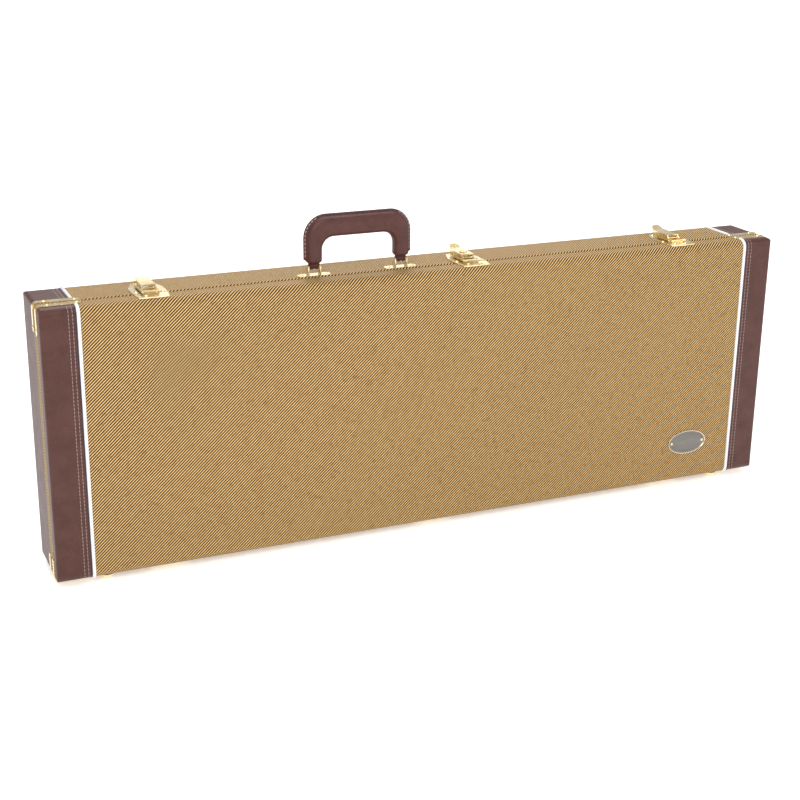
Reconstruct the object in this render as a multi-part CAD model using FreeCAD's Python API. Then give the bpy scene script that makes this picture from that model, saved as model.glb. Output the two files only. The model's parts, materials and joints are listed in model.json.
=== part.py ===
import FreeCAD, Part
import math
import os
from FreeCAD import Vector

# Guitar case standing on its spine. X runs along the case, -Y is the lid side, +Z is up.
# All sizes are in millimetres. The origin is on the floor, under the middle of the case.

# Overall size, over the covering.
case_length = 1060.0
case_height = 360.0
case_depth = 104.0
lid_depth = 27.0
seam_gap = 0.6

# Shell boards, their covering and the rounding of the box.
skin_thick = 1.2
wall_thick = 6.0
panel_thick = 4.0
edge_radius = 10.0
end_edge_radius = 4.0
corner_radius = 5.0
least_radius = 0.5

# Leather ends, their piping and the brass corner guards.
leather_width = 45.0
leather_seam_margin = 9.5
piping_width = 4.5
piping_gap = 0.2
guard_thick = 1.3
guard_long = 56.0
guard_width = 14.0
guard_seam_margin = 0.9
guard_vee = 6.5
guard_drop_top = 36.0
guard_drop_spine = 29.0
guard_tip = 6.5
guard_end_tip = 3.75

# Feet.
foot_diameter = 20.0
foot_height = 7.5
foot_flat = 0.4
foot_spacing = 929.0
foot_inset = 15.0
foot_screw_radius = 2.0
foot_screw_length = 5.0

# Nails of the guards and badge, rivets of the hardware.
nail_head_radius = 2.2
nail_head_height = 1.0
nail_radius = 0.9
rivet_head_radius = 2.5
rivet_head_height = 1.2
rivet_radius = 1.2
bite = 3.0

# Lid hinges along the spine.
hinge_spacing = 380.0
hinge_length = 50.0
hinge_barrel_radius = 2.8
hinge_drop = 3.2
hinge_pin_radius = 1.2
hinge_leaf_thick = 1.2
hinge_leaf_reach = 15.0
hinge_knuckles = 5
hinge_rivet_spacing = 30.0

# Clearances.
running_fit = 0.06
side_gap = 0.3

# Draw latches, with s behind the seam and h above the covering.
latch_positions = (-387.0, 54.0, 382.0)
plate_thick = 1.5
latch_width = 44.0
latch_tail_width = 27.0
latch_base_start = 1.0
latch_base_end = 51.0
catch_reach = 19.0
catch_nose_width = 38.0
catch_bow = 1.6
catch_lip_s = 2.1
catch_lip_thick = 1.8
catch_lip_width = 18.0
catch_rivet_s = 12.5
latch_rivet_spread = 34.0
latch_rivet_tail_spread = 18.0
pivot_s = 10.0
pivot_h = 5.0
pivot_radius = 1.3
ear_radius = 2.5
ear_thick = 1.6
lever_width = 18.5
lever_thick = 1.5
lever_top_h = 9.8
lever_end_s = 48.0
lever_nose = 0.2
lever_flange_h = 2.0
tab_width = 16.0
tab_end_s = 57.0
tab_end_h = 14.2
link_pivot_s = 30.0
link_pivot_h = 4.3
link_pin_radius = 1.2
link_eye_radius = 2.3
link_bar = 2.5
link_bar_s = 5.4
link_bar_h = 4.7

# Lock in the middle latch.
lock_s = 24.0
lock_housing_radius = 5.0
lock_housing_low_h = 6.5
lock_housing_top_h = 11.3
lock_plug_radius = 3.0
lock_plug_inset = 0.3
lock_cam_h = 2.6
lock_cam_thick = 1.0
lock_cam_width = 2.4
lock_cam_gap = 0.5
keyhole_width = 1.0
keyhole_length = 3.6
keyhole_depth = 2.0
keeper_inner_x = 3.6
keeper_gap = 0.45
keeper_wall = 1.0
keeper_length = 3.0
keeper_h = 4.1
keeper_outer_x = lever_width / 2 - lever_thick - keeper_gap
lock_cam_reach = keeper_outer_x - keeper_wall - lock_cam_gap

# Handle and its plates.
handle_x = -106.0
handle_offset = 12.0
handle_spacing = 122.5
handle_height = 77.0
handle_leg = 21.0
handle_bar = 26.5
handle_thick = 19.0
handle_outer_radius = 27.0
handle_inner_radius = 16.0
handle_round = 7.5
handle_fin = 4.0
handle_fin_thick = 3.0
handle_fin_start = 21.0
handle_leg_start = 18.5
handle_pivot_h = 11.5
handle_pin_radius = 1.8
handle_tab_width = 14.0
handle_tab_thick = 7.4
handle_tab_top = 16.0
handle_core_thick = 3.0
handle_core_width = 5.6
handle_core_radius = 18.0
handle_ear_thick = 1.8
handle_ear_radius = 3.8
handle_plate_length = 46.0
handle_plate_width = 14.0
handle_rivet_spacing = 34.0

# Badge.
badge_x = 408.0
badge_z = 60.5
badge_length = 64.0
badge_width = 36.0
badge_thick = 1.6
badge_bevel = 0.6
badge_nail_spacing = 53.0

# Lining and pads.
tongue_thick = 2.4
tongue_reach = 5.0
tongue_depth = 19.0
tongue_gap = 0.5
floor_pad_thick = 6.0
wall_pad_thick = 8.0
lid_pad_thick = 8.0
lining_thick = 1.2
pad_round = 3.0
bolster_x = -290.0
bolster_length = 190.0
bolster_depth = 34.0
neck_gap = 110.0
neck_block_start = -20.0
neck_block_length = 320.0
neck_block_inset = 10.0
cradle_x = 355.0
cradle_length = 45.0
cradle_width = 120.0
cradle_slot = 64.0
cradle_height = 36.0
cradle_slot_depth = 18.0

# Accessory compartment.
box_start = 0.0
box_length = 240.0
box_board = 4.0
box_inset = 3.5
box_lid_thick = 4.2
box_pivot_rise = 4.0
box_pin_radius = 1.5
box_pin_length = 12.0
pull_width = 14.0
pull_length = 30.0
pull_thick = 0.8

# Positions that follow from the sizes.
x_axis = Vector(1, 0, 0)
y_axis = Vector(0, 1, 0)
z_axis = Vector(0, 0, 1)
tiny = 1e-6
half_length = case_length / 2
front_y = -case_depth / 2
back_y = case_depth / 2
seam_y = front_y + lid_depth
low_z = foot_height
high_z = foot_height + case_height
mid_z = foot_height + case_height / 2
lid_rim_y = seam_y - seam_gap / 2
body_rim_y = seam_y + seam_gap / 2
front_board_y = front_y + skin_thick + panel_thick
back_board_y = back_y - skin_thick - panel_thick
inner_x = half_length - skin_thick - wall_thick
inner_low_z = low_z + skin_thick + wall_thick
inner_high_z = high_z - skin_thick - wall_thick
pad_low_z = inner_low_z + wall_pad_thick
pad_high_z = inner_high_z - wall_pad_thick
pad_left_x = -inner_x + wall_pad_thick
pad_right_x = inner_x - wall_pad_thick
floor_y = back_board_y - floor_pad_thick
hinge_z = low_z - hinge_drop
hinge_positions = (-hinge_spacing, 0.0, hinge_spacing)
handle_y = seam_y + handle_offset
piping_x = half_length - leather_width - piping_width / 2
beyond = case_length


# Basic shapes.

def block(x0, x1, y0, y1, z0, z1):
    return Part.makeBox(x1 - x0, y1 - y0, z1 - z0, Vector(x0, y0, z0))


def rod(start, direction, length, radius):
    return Part.makeCylinder(radius, length, start, direction)


def parallel_edges(shape, axis):
    return [edge for edge in shape.Edges
            if edge.tangentAt(edge.FirstParameter).cross(axis).Length < tiny]


def rounded_block(bounds, axis, radius):
    body = block(*bounds)
    return body.makeFillet(radius, parallel_edges(body, axis))


# A face from a start point and steps: two numbers are a line, four are an arc by a middle point.
def outline(start, steps, place):
    edges = []
    here = place(*start)
    for step in steps:
        end = place(*step[-2:])
        if len(step) == 4:
            edges.append(Part.Arc(here, place(*step[:2]), end).toShape())
        else:
            edges.append(Part.makeLine(here, end))
        here = end
    return Part.Face(Part.Wire(edges))


def one_shape(shapes):
    solids = [solid for shape in shapes for solid in shape.Solids]
    if len(solids) == 1:
        return solids[0]
    return Part.makeCompound(solids)


def fused(shapes):
    return shapes[0].fuse(shapes[1:]).removeSplitter()


def moved(shape, x, y, z):
    copy = shape.copy()
    copy.translate(Vector(x, y, z))
    return copy


# A dome standing on the XY plane.
def dome(radius, height):
    ball = (radius ** 2 + height ** 2) / (2 * height)
    tilt = math.atan2(radius, ball - height) / 2
    middle = Vector(ball * math.sin(tilt), 0, height - ball + ball * math.cos(tilt))
    arc = Part.Arc(Vector(radius, 0, 0), middle, Vector(0, 0, height)).toShape()
    base = Part.makeLine(Vector(), Vector(radius, 0, 0))
    axis = Part.makeLine(Vector(0, 0, height), Vector())
    return Part.Face(Part.Wire([base, arc, axis])).revolve(Vector(), z_axis, 360)


def set_on(shape, point, normal):
    copy = shape.copy()
    copy.Placement = FreeCAD.Placement(point, FreeCAD.Rotation(z_axis, normal))
    return copy


# The outside of the whole case, moved inwards by an inset.
def envelope(inset):
    bounds = (-half_length + inset, half_length - inset, front_y + inset, back_y - inset,
              low_z + inset, high_z - inset)
    radii = ((x_axis, edge_radius), (z_axis, end_edge_radius), (y_axis, corner_radius))
    rounded = [rounded_block(bounds, axis, max(radius - inset, least_radius)) for axis, radius in radii]
    return rounded[0].common(rounded[1]).common(rounded[2])


def lid_side(margin):
    return block(-beyond, beyond, -beyond, seam_y - margin, -beyond, beyond)


def body_side(margin):
    return block(-beyond, beyond, seam_y + margin, beyond, -beyond, beyond)


def ends(reach):
    left = block(-beyond, -half_length + reach, -beyond, beyond, -beyond, beyond)
    return [left, left.mirror(Vector(), x_axis)]


# Fasteners. A seat is the metal under the head; the shank goes on through the covering into the board.

def shank(fastener):
    point, normal, seat, kind = fastener
    radius = nail_radius if kind == "nail" else rivet_radius
    return rod(point, -normal, seat + skin_thick + bite, radius)


def fastener_solid(fastener):
    point, normal, seat, kind = fastener
    if kind == "nail":
        head = dome(nail_head_radius, nail_head_height)
    else:
        head = dome(rivet_head_radius, rivet_head_height)
    return set_on(head, point, normal).fuse(shank(fastener)).removeSplitter()


def drilled(shape, tools):
    near = [tool for tool in tools if tool.BoundBox.intersect(shape.BoundBox)]
    if not near:
        return shape
    return shape.cut(near)


# Corner guards.

def guard_region(side_x, side_y, side_z):
    reach = corner_radius + guard_thick
    edge_z = high_z if side_z > 0 else low_z
    drop = guard_drop_top if side_z > 0 else guard_drop_spine
    over = 2 * guard_thick
    middle = (guard_seam_margin + guard_width) / 2
    end_middle = (guard_vee + guard_width) / 2

    def on_long_side(u, w):
        return Vector(side_x * (half_length - u), seam_y + side_y * w, edge_z - side_z * reach)

    def on_end(v, w):
        return Vector(side_x * (half_length - reach), seam_y + side_y * w, edge_z - side_z * v)

    long_face = outline((-over, guard_vee), [
        (guard_long - guard_tip, guard_seam_margin),
        (guard_long, middle, guard_long - guard_tip, guard_width - guard_seam_margin),
        (guard_long - 2 * guard_tip, guard_width), (-over, guard_width), (-over, guard_vee)], on_long_side)
    end_face = outline((-over, guard_vee), [
        (drop - guard_end_tip, guard_vee), (drop, end_middle, drop - guard_end_tip, guard_width),
        (-over, guard_width), (-over, guard_vee)], on_end)
    along = long_face.extrude(z_axis * side_z * (reach + over))
    down = end_face.extrude(x_axis * side_x * (reach + over))
    return along.fuse(down)


def guard_nails(side_x, side_y, side_z):
    edge_z = high_z if side_z > 0 else low_z
    drop = guard_drop_top if side_z > 0 else guard_drop_spine
    middle = seam_y + side_y * (guard_seam_margin + guard_width) / 2
    end_middle = seam_y + side_y * (guard_vee + guard_width) / 2
    z = edge_z + side_z * guard_thick
    up = z_axis * side_z
    out = x_axis * side_x
    inner = Vector(side_x * (half_length - guard_long + guard_tip), middle, z)
    outer = Vector(side_x * (half_length - 2 * guard_tip), end_middle, z)
    nail_z = edge_z - side_z * (drop - guard_tip)
    lower = Vector(side_x * (half_length + guard_thick), end_middle, nail_z)
    return [(inner, up, guard_thick, "nail"), (outer, up, guard_thick, "nail"),
            (lower, out, guard_thick, "nail")]


def corners(side_y):
    return [(side_x, side_y, side_z) for side_x in (-1, 1) for side_z in (-1, 1)]


# Piping: a half-round bead lying on the covering, from the guard round to the other guard.
def piping(side_x, side_y):
    x = side_x * piping_x
    start_y = seam_y + side_y * (guard_width + piping_gap)
    face_y = back_y if side_y > 0 else front_y
    bend = edge_radius * (1 - math.sqrt(0.5))
    radius = piping_width / 2

    def place(y, z):
        return Vector(x, y, z)

    flat_y = face_y - side_y * edge_radius
    bend_y = face_y - side_y * bend
    top = Part.makeLine(place(start_y, high_z), place(flat_y, high_z))
    top_bend = Part.Arc(place(flat_y, high_z), place(bend_y, high_z - bend),
                        place(face_y, high_z - edge_radius)).toShape()
    face = Part.makeLine(place(face_y, high_z - edge_radius), place(face_y, low_z + edge_radius))
    low_bend = Part.Arc(place(face_y, low_z + edge_radius), place(bend_y, low_z + bend),
                        place(flat_y, low_z)).toShape()
    low = Part.makeLine(place(flat_y, low_z), place(start_y, low_z))
    crown = Part.Arc(Vector(x - radius, start_y, high_z), Vector(x, start_y, high_z + radius),
                     Vector(x + radius, start_y, high_z)).toShape()
    sole = Part.makeLine(Vector(x + radius, start_y, high_z), Vector(x - radius, start_y, high_z))
    path = Part.Wire([top, top_bend, face, low_bend, low])
    return path.makePipeShell([Part.Wire([crown, sole])], True, False)


def foot(side_x, y):
    cap = dome(foot_diameter / 2, foot_height + foot_flat)
    cap = cap.common(block(-foot_diameter, foot_diameter, -foot_diameter, foot_diameter, 0, foot_height))
    screw = rod(Vector(), -z_axis, foot_screw_length, foot_screw_radius)
    return set_on(cap.fuse(screw), Vector(side_x * foot_spacing / 2, y, low_z), -z_axis)


def foot_hole(side_x, y):
    return rod(Vector(side_x * foot_spacing / 2, y, low_z), z_axis, foot_screw_length, foot_screw_radius)


# Hinges. The body owns the odd knuckles and the lid the even ones.

def knuckle_span(number):
    width = hinge_length / hinge_knuckles
    start = -hinge_length / 2 + number * width
    return start + side_gap / 2, start + width - side_gap / 2


def hinge_leaf(x, side_y):
    own = [number for number in range(hinge_knuckles) if (number % 2 == 0) == (side_y > 0)]
    half = hinge_length / 2
    clear = hinge_barrel_radius + side_gap
    y0, y1 = sorted((seam_y + side_y * clear, seam_y + side_y * hinge_leaf_reach))
    leaf = block(x - half, x + half, y0, y1, low_z - hinge_leaf_thick, low_z)
    pieces = [leaf]
    for number in own:
        x0, x1 = knuckle_span(number)
        y0, y1 = sorted((seam_y, seam_y + side_y * (clear + tiny)))
        pieces.append(block(x + x0, x + x1, y0, y1, low_z - hinge_leaf_thick, low_z))
        pieces.append(rod(Vector(x + x0, seam_y, hinge_z), x_axis, x1 - x0, hinge_barrel_radius))
    bore = hinge_pin_radius if side_y > 0 else hinge_pin_radius + running_fit
    return fused(pieces).cut(rod(Vector(x - half, seam_y, hinge_z), x_axis, hinge_length, bore))


def hinge_pin(x):
    return rod(Vector(x - hinge_length / 2, seam_y, hinge_z), x_axis, hinge_length, hinge_pin_radius)


def hinge_rivets(side_y):
    y = seam_y + side_y * (hinge_barrel_radius + hinge_leaf_reach) / 2
    return [(Vector(x + side * hinge_rivet_spacing / 2, y, low_z - hinge_leaf_thick), -z_axis,
             hinge_leaf_thick, "rivet") for x in hinge_positions for side in (-1, 1)]


# Draw latch pieces, drawn about the seam and the top of the covering.

def side_view(s, h):
    return Vector(0, s, h)


def slab(face, x0, x1):
    piece = face.extrude(x_axis * (x1 - x0))
    return moved(piece, x0, 0, 0)


def both_sides(face, inner, outer):
    return [slab(face, inner, outer), slab(face, -outer, -inner)]


def latch_catch():
    half = latch_width / 2
    nose = catch_nose_width / 2
    plate = outline((-half, -latch_base_start), [
        (-nose, -catch_reach), (0, -catch_reach - catch_bow, nose, -catch_reach),
        (half, -latch_base_start), (-half, -latch_base_start)], lambda x, y: Vector(x, y, 0))
    lip_top = link_bar_h - link_bar / 2 - side_gap
    lip = block(-catch_lip_width / 2, catch_lip_width / 2, -catch_lip_s - catch_lip_thick, -catch_lip_s,
                0, lip_top)
    return fused([plate.extrude(z_axis * plate_thick), lip])


def pivot_ears():
    radius = ear_radius
    face = outline((pivot_s - radius, 0), [
        (pivot_s - radius, pivot_h), (pivot_s, pivot_h + radius, pivot_s + radius, pivot_h),
        (pivot_s + radius, 0), (pivot_s - radius, 0)], side_view)
    outer = lever_width / 2 - lever_thick - side_gap
    return both_sides(face, outer - ear_thick, outer)


def keeper():
    s0 = lock_s - keeper_length / 2
    s1 = lock_s + keeper_length / 2
    post = block(keeper_outer_x - keeper_wall, keeper_outer_x, s0, s1, plate_thick, keeper_h + keeper_wall)
    roof = block(keeper_inner_x, keeper_outer_x, s0, s1, keeper_h, keeper_h + keeper_wall)
    return fused([post, roof])


def latch_base():
    half = latch_width / 2
    tail = latch_tail_width / 2
    shoulder = (latch_base_start + latch_base_end) / 2
    plate = outline((-half, latch_base_start), [
        (half, latch_base_start), (half, shoulder), (tail, latch_base_end), (-tail, latch_base_end),
        (-half, shoulder), (-half, latch_base_start)], lambda x, y: Vector(x, y, 0))
    return fused([plate.extrude(z_axis * plate_thick)] + pivot_ears()).cut(pivot_pin())


def pivot_pin():
    return rod(Vector(-lever_width / 2, pivot_s, pivot_h), x_axis, lever_width, pivot_radius)


def pivot_bore():
    return rod(Vector(-lever_width, pivot_s, pivot_h), x_axis, 2 * lever_width, pivot_radius + running_fit)


def lever_flange():
    nose = pivot_h - lever_flange_h
    bend = nose * math.sqrt(0.5)
    tail_s = lever_end_s - 2 * nose
    return outline((pivot_s, lever_flange_h), [
        (tail_s, lever_flange_h), (lever_end_s, lever_top_h - lever_thick), (lever_end_s, lever_top_h),
        (pivot_s - lever_nose, lever_top_h), (pivot_s - nose, pivot_h),
        (pivot_s - bend, pivot_h - bend, pivot_s, lever_flange_h)], side_view)


def thumb_tab():
    low = lever_top_h - lever_thick
    root_s = lever_end_s - lever_thick
    rise = outline((root_s, low), [
        (lever_end_s, low), (tab_end_s, tab_end_h - lever_thick), (tab_end_s - lever_thick / 2, tab_end_h),
        (lever_end_s - lever_thick / 2, lever_top_h), (root_s, lever_top_h), (root_s, low)], side_view)
    half = tab_width / 2
    plan = block(-half, half, root_s, tab_end_s - half, 0, 2 * tab_end_h)
    tip = rod(Vector(0, tab_end_s - half, 0), z_axis, 2 * tab_end_h, half)
    return slab(rise, -half, half).common(plan.fuse(tip))


def latch_lever(has_lock):
    half = lever_width / 2
    top = block(-half, half, pivot_s - lever_nose, lever_end_s, lever_top_h - lever_thick, lever_top_h)
    pieces = [top, thumb_tab()] + both_sides(lever_flange(), half - lever_thick, half)
    link_bore = rod(Vector(-lever_width, link_pivot_s, link_pivot_h), x_axis, 2 * lever_width,
                    link_pin_radius + running_fit)
    lever = fused(pieces).cut([pivot_bore(), link_bore])
    if has_lock:
        lever = lever.cut(rod(Vector(0, lock_s, 0), z_axis, lock_housing_top_h, lock_housing_radius))
    return lever


def latch_link():
    inner = lever_width / 2 + side_gap
    outer = inner + link_bar
    half = link_bar / 2
    arm = outline((link_pivot_s, link_pivot_h - half), [
        (link_pivot_s, link_pivot_h + half), (-link_bar_s - half, link_bar_h + half),
        (-link_bar_s - half, link_bar_h - half), (link_pivot_s, link_pivot_h - half)], side_view)
    eye = outline((link_pivot_s, link_pivot_h - link_eye_radius), [
        (link_pivot_s + link_eye_radius, link_pivot_h, link_pivot_s, link_pivot_h + link_eye_radius),
        (link_pivot_s - link_eye_radius, link_pivot_h, link_pivot_s, link_pivot_h - link_eye_radius)],
        side_view)
    bar = block(-outer, outer, -link_bar_s - half, -link_bar_s + half, link_bar_h - half, link_bar_h + half)
    pin = rod(Vector(-outer, link_pivot_s, link_pivot_h), x_axis, 2 * outer, link_pin_radius)
    return fused(both_sides(arm, inner, outer) + both_sides(eye, inner, outer) + [bar, pin])


def lock_housing():
    height = lock_housing_top_h - lock_housing_low_h
    start = Vector(0, lock_s, lock_housing_low_h)
    return rod(start, z_axis, height, lock_housing_radius).cut(
        rod(start, z_axis, height, lock_plug_radius + running_fit))


def lock_plug():
    low = lock_cam_h + lock_cam_thick
    top = lock_housing_top_h - lock_plug_inset
    barrel = rod(Vector(0, lock_s, low), z_axis, top - low, lock_plug_radius)
    cam = block(-lock_cam_width / 2, lock_cam_width / 2, lock_s - lock_cam_reach,
                lock_s + lock_cam_width / 2, lock_cam_h, low)
    keyhole = block(-keyhole_width / 2, keyhole_width / 2, lock_s - keyhole_length / 2,
                    lock_s + keyhole_length / 2, top - keyhole_depth, top)
    return fused([barrel, cam]).cut(keyhole)


def at_latch(shape, x):
    return moved(shape, x, seam_y, high_z)


def latch_base_rivets(x):
    spots = [(latch_rivet_spread / 2, latch_base_start + 2 * rivet_head_radius),
             (latch_rivet_tail_spread / 2, latch_base_end - 2 * rivet_head_radius)]
    return [(Vector(x + side * across, seam_y + s, high_z + plate_thick), z_axis, plate_thick, "rivet")
            for across, s in spots for side in (-1, 1)]


def catch_rivets(x):
    return [(Vector(x + side * latch_rivet_tail_spread / 2, seam_y - catch_rivet_s, high_z + plate_thick),
             z_axis, plate_thick, "rivet") for side in (-1, 1)]


# Handle, drawn about its middle and the top of the covering.

def handle_view(y):
    return lambda u, h: Vector(u, y, h)


# An upside-down U: its outer edge grown by an offset, its legs starting at a height.
def handle_arch(outer_half, inner_half, top, inner_top, outer_radius, inner_radius, start, thick):
    outer_bend = outer_radius * (1 - math.sqrt(0.5))
    inner_bend = inner_radius * (1 - math.sqrt(0.5))
    face = outline((-outer_half, start), [
        (-outer_half, top - outer_radius),
        (-outer_half + outer_bend, top - outer_bend, -outer_half + outer_radius, top),
        (outer_half - outer_radius, top),
        (outer_half - outer_bend, top - outer_bend, outer_half, top - outer_radius),
        (outer_half, start), (inner_half, start), (inner_half, inner_top - inner_radius),
        (inner_half - inner_bend, inner_top - inner_bend, inner_half - inner_radius, inner_top),
        (-inner_half + inner_radius, inner_top),
        (-inner_half + inner_bend, inner_top - inner_bend, -inner_half, inner_top - inner_radius),
        (-inner_half, start), (-outer_half, start)], handle_view(-thick / 2))
    return face.extrude(y_axis * thick)


def rounded_arch():
    half = handle_spacing / 2
    leg = handle_leg / 2
    arch = handle_arch(half + leg, half - leg, handle_height, handle_height - handle_bar,
                       handle_outer_radius, handle_inner_radius, handle_leg_start, handle_thick)
    rims = [edge for edge in arch.Edges
            if abs(abs(edge.CenterOfMass.y) - handle_thick / 2) < tiny
            and edge.CenterOfMass.z > handle_leg_start + tiny]
    return arch.makeFillet(handle_round, rims)


def handle_fin_strip():
    outer = handle_spacing / 2 + handle_leg / 2
    return handle_arch(outer + handle_fin, outer - handle_fin, handle_height + handle_fin,
                       handle_height - handle_fin, handle_outer_radius + handle_fin,
                       handle_outer_radius - handle_fin, handle_fin_start, handle_fin_thick)


def handle_core_strap(grow):
    half = handle_spacing / 2
    thick = handle_core_thick / 2 + grow
    top = handle_height - handle_bar / 2
    low = handle_pivot_h - handle_core_width / 2 - grow
    return handle_arch(half + thick, half - thick, top + thick, top - thick,
                       handle_core_radius + thick, handle_core_radius - thick, low,
                       handle_core_width + 2 * grow)


def handle_leg_end(side):
    u = side * handle_spacing / 2

    def frame(width, thick, h):
        signs = ((-1, -1), (1, -1), (1, 1), (-1, 1), (-1, -1))
        return Part.makePolygon([Vector(u + a * width / 2, b * thick / 2, h) for a, b in signs])

    taper = Part.makeLoft([frame(handle_tab_width, handle_tab_thick, handle_tab_top),
                           frame(handle_leg - handle_fin, handle_thick - 2 * handle_fin, handle_leg_start)],
                          True, True)
    low = block(u - handle_tab_width / 2, u + handle_tab_width / 2, -handle_tab_thick / 2,
                handle_tab_thick / 2, handle_pivot_h, handle_tab_top)
    eye = rod(Vector(u - handle_tab_width / 2, 0, handle_pivot_h), x_axis, handle_tab_width,
              handle_tab_thick / 2)
    return [taper, low, eye]


def handle_bore(side):
    return rod(Vector(side * handle_spacing / 2 - handle_leg, 0, handle_pivot_h), x_axis, 2 * handle_leg,
               handle_pin_radius + running_fit)


def handle_grip():
    solid = fused([rounded_arch(), handle_fin_strip()] + handle_leg_end(-1) + handle_leg_end(1))
    return solid.cut([handle_core_strap(0), handle_bore(-1), handle_bore(1)])


def handle_core():
    return handle_core_strap(0).cut([handle_bore(-1), handle_bore(1)])


def handle_ear_outer():
    return handle_tab_width / 2 + side_gap + handle_ear_thick


def handle_plate(side):
    u = side * handle_spacing / 2
    half = handle_plate_length / 2
    width = handle_plate_width / 2
    straight = half - width
    plate = outline((-straight, -width), [
        (straight, -width), (half, 0, straight, width), (-straight, width),
        (-half, 0, -straight, -width)], lambda x, y: Vector(x, y, 0)).extrude(z_axis * plate_thick)
    radius = handle_ear_radius
    ear = outline((-radius, 0), [
        (-radius, handle_pivot_h), (0, handle_pivot_h + radius, radius, handle_pivot_h),
        (radius, 0), (-radius, 0)], side_view)
    outer = handle_ear_outer()
    solid = fused([plate] + both_sides(ear, outer - handle_ear_thick, outer))
    return moved(solid.cut(rod(Vector(-outer, 0, handle_pivot_h), x_axis, 2 * outer, handle_pin_radius)),
                 u, 0, 0)


def handle_pin(side):
    outer = handle_ear_outer()
    return rod(Vector(side * handle_spacing / 2 - outer, 0, handle_pivot_h), x_axis, 2 * outer,
               handle_pin_radius)


def at_handle(shape):
    return moved(shape, handle_x, handle_y, high_z)


def handle_rivets():
    return [(Vector(handle_x + side * handle_spacing / 2 + end * handle_rivet_spacing / 2, handle_y,
                    high_z + plate_thick), z_axis, plate_thick, "rivet")
            for side in (-1, 1) for end in (-1, 1)]


# Badge: an oval plate with a bevelled rim and a nail near each end.

def oval(length, width, y):
    edge = Part.Ellipse(Vector(), length / 2, width / 2).toShape()
    edge.rotate(Vector(), x_axis, 90)
    edge.translate(Vector(badge_x, y, low_z + badge_z))
    return Part.Wire([edge])


def badge_nails():
    face = front_y - badge_thick
    return [(Vector(badge_x + side * badge_nail_spacing / 2, face, low_z + badge_z), -y_axis, badge_thick,
             "nail") for side in (-1, 1)]


def badge_plate():
    slab_top = front_y - badge_thick + badge_bevel
    base = Part.Face(oval(badge_length, badge_width, front_y)).extrude(y_axis * (slab_top - front_y))
    rim = Part.makeLoft([oval(badge_length, badge_width, slab_top),
                         oval(badge_length - 2 * badge_bevel, badge_width - 2 * badge_bevel,
                              front_y - badge_thick)], True)
    return base.fuse(rim)


# Lining, pads and compartment.

def ring_strips(margin, thick, y0, y1):
    x = inner_x - margin
    z0 = inner_low_z + margin
    z1 = inner_high_z - margin
    return [block(-x, x, y0, y1, z1 - thick, z1), block(-x, x, y0, y1, z0, z0 + thick),
            block(-x, -x + thick, y0, y1, z0 + thick, z1 - thick),
            block(x - thick, x, y0, y1, z0 + thick, z1 - thick)]


def rim_tongue():
    inside = ring_strips(0, tongue_thick, body_rim_y, seam_y + tongue_depth - tongue_reach)
    outside = ring_strips(tongue_gap, tongue_thick - tongue_gap, seam_y - tongue_reach, body_rim_y)
    return one_shape([fused([inner, outer]) for inner, outer in zip(inside, outside)])


def soft_block(bounds, radius):
    body = block(*bounds)
    edges = [edge for edge in body.Edges if edge.BoundBox.YMax < bounds[2] + tiny]
    return body.makeFillet(radius, edges)


def pad_start_y():
    return seam_y + tongue_depth - tongue_reach


def bolster(side_z):
    wall = pad_high_z if side_z > 0 else pad_low_z
    half = bolster_length / 2

    def place(x, z):
        return Vector(bolster_x + x, pad_start_y(), wall - side_z * z)

    face = outline((-half, 0), [(0, bolster_depth, half, 0), (-half, 0)], place)
    return face.extrude(y_axis * (floor_y - pad_start_y()))


def neck_cradle():
    half = cradle_width / 2
    slot = cradle_slot / 2
    top = floor_y - cradle_height
    slot_y = top + cradle_slot_depth
    bend = (slot_y - top) / 2

    def place(z, y):
        return Vector(cradle_x - cradle_length / 2, y, mid_z + z)

    face = outline((-half, floor_y), [
        (-half, top), (-slot, top), (-slot + bend, slot_y - bend / 2, 0, slot_y),
        (slot - bend, slot_y - bend / 2, slot, top), (half, top), (half, floor_y), (-half, floor_y)], place)
    return face.extrude(x_axis * cradle_length)


box_end = box_start + box_length
box_front_y = seam_y + box_inset
box_lid_back_y = box_front_y + box_lid_thick
box_top_z = mid_z - neck_gap / 2
box_pivot_y = box_front_y + box_lid_thick / 2
box_pivot_z = pad_low_z + box_pivot_rise
box_lid_low_z = box_pivot_z - box_lid_thick / 2


def box_pin(x, side):
    return rod(Vector(x, box_pivot_y, box_pivot_z), x_axis * side, box_pin_length, box_pin_radius)


def box_walls():
    y0 = box_front_y
    y1 = floor_y
    left = block(box_start, box_start + box_board, y0, y1, pad_low_z, box_top_z)
    right = block(box_end - box_board, box_end, y0, y1, pad_low_z, box_top_z)
    neck_side = block(box_start + box_board, box_end - box_board, box_lid_back_y + side_gap, y1,
                      box_top_z - box_board, box_top_z)
    walls = fused([left, right, neck_side])
    return walls.cut([box_pin(box_start, 1), box_pin(box_end, -1)])


def box_lid():
    x0 = box_start + box_board + side_gap
    x1 = box_end - box_board - side_gap
    board = block(x0, x1, box_front_y, box_lid_back_y, box_lid_low_z, box_top_z)
    bores = [rod(Vector(x0, box_pivot_y, box_pivot_z), x_axis, box_pin_length, box_pin_radius + running_fit),
             rod(Vector(x1, box_pivot_y, box_pivot_z), -x_axis, box_pin_length, box_pin_radius + running_fit)]
    return board.cut(bores)


def pull_tab():
    middle = (box_start + box_end) / 2
    half = pull_width / 2
    z1 = box_top_z + pull_length / 2
    z0 = z1 - pull_length
    return block(middle - half, middle + half, box_front_y - pull_thick, box_front_y, z0, z1)


# Assembly of the nodes.

def skins(shell, side, leather_side, tools):
    half = shell.common(side)
    regions = [end.common(leather_side) for end in ends(leather_width)]
    leather = [drilled(half.common(region), tools) for region in regions]
    tweed = drilled(half.cut(regions), tools)
    return tweed, one_shape(leather)


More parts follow.
